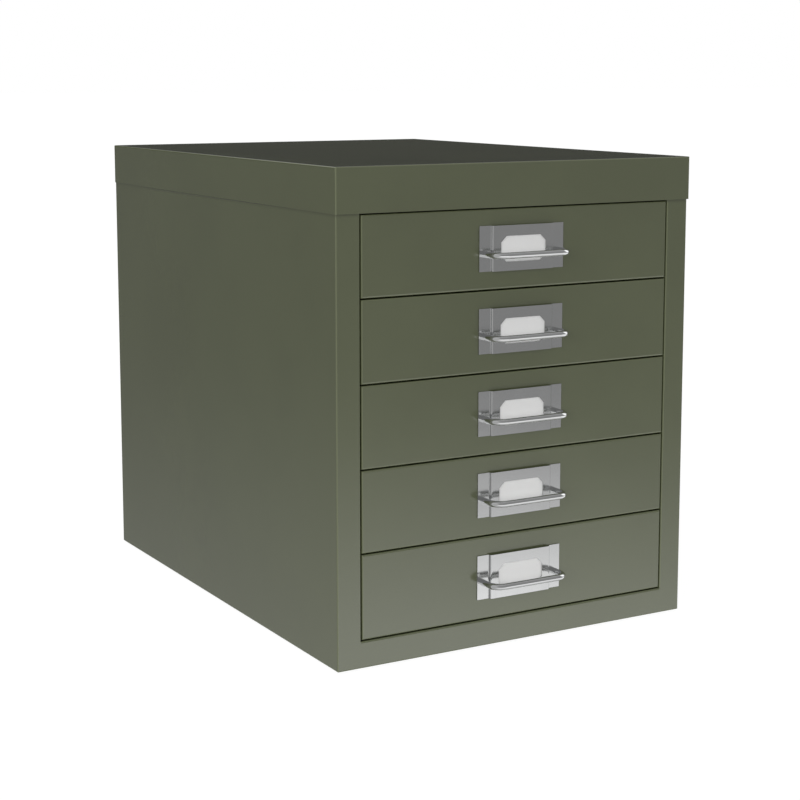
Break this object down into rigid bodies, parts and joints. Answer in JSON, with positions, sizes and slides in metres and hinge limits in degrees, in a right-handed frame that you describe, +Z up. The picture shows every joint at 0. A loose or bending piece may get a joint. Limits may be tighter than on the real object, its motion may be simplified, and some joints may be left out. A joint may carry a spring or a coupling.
{
  "type": "desktop drawer cabinet",
  "caption": "Small desktop cabinet folded from painted sheet steel, with shallow drawers that slide out on side runners by chrome label-holder wire pulls.",
  "frame": {"origin": "on the surface that the cabinet stands on, under the centre of its overall width and depth, wire pulls included", "axes": "+X to the cabinet's left as it faces out, which is the right of someone facing the drawers, +Y towards the back, +Z up; the drawers open towards -Y"},
  "size_m": [0.2784, 0.3958, 0.3265],
  "materials": {
    "paint": "satin olive-green stove enamel",
    "inner_paint": "satin olive-green stove enamel",
    "chrome": "bright plated",
    "zinc": "zinc plated",
    "card": "matte white card",
    "rubber": "matte black"
  },
  "bodies": {
    "cabinet": {"top_cap": "paint", "side_panel_left": "paint", "side_panel_right": "paint", "back_panel": "paint", "base_pan": "paint", "top_rail": "paint", "foot_pads": "rubber", "runner_left_1": "inner_paint", "runner_left_2": "inner_paint", "runner_left_3": "inner_paint", "runner_left_4": "inner_paint", "runner_left_5": "inner_paint", "runner_right_1": "inner_paint", "runner_right_2": "inner_paint", "runner_right_3": "inner_paint", "runner_right_4": "inner_paint", "runner_right_5": "inner_paint"},
    "drawer_1": {"tray_1": "inner_paint", "front_1": "paint", "label_plate_1": "chrome", "label_card_1": "card", "wire_pull_1": "chrome", "pull_washers_1": "zinc"},
    "drawer_2": {"tray_2": "inner_paint", "front_2": "paint", "label_plate_2": "chrome", "label_card_2": "card", "wire_pull_2": "chrome", "pull_washers_2": "zinc"},
    "drawer_3": {"tray_3": "inner_paint", "front_3": "paint", "label_plate_3": "chrome", "label_card_3": "card", "wire_pull_3": "chrome", "pull_washers_3": "zinc"},
    "drawer_4": {"tray_4": "inner_paint", "front_4": "paint", "label_plate_4": "chrome", "label_card_4": "card", "wire_pull_4": "chrome", "pull_washers_4": "zinc"},
    "drawer_5": {"tray_5": "inner_paint", "front_5": "paint", "label_plate_5": "chrome", "label_card_5": "card", "wire_pull_5": "chrome", "pull_washers_5": "zinc"}
  },
  "joints": [
    {"name": "drawer_1_slide", "type": "slide", "parent": "cabinet", "child": "drawer_1", "axis": [0, -1, 0], "range_m": [0, 0.28]},
    {"name": "drawer_2_slide", "type": "slide", "parent": "cabinet", "child": "drawer_2", "axis": [0, -1, 0], "range_m": [0, 0.28]},
    {"name": "drawer_3_slide", "type": "slide", "parent": "cabinet", "child": "drawer_3", "axis": [0, -1, 0], "range_m": [0, 0.28]},
    {"name": "drawer_4_slide", "type": "slide", "parent": "cabinet", "child": "drawer_4", "axis": [0, -1, 0], "range_m": [0, 0.28]},
    {"name": "drawer_5_slide", "type": "slide", "parent": "cabinet", "child": "drawer_5", "axis": [0, -1, 0], "range_m": [0, 0.28]}
  ]
}
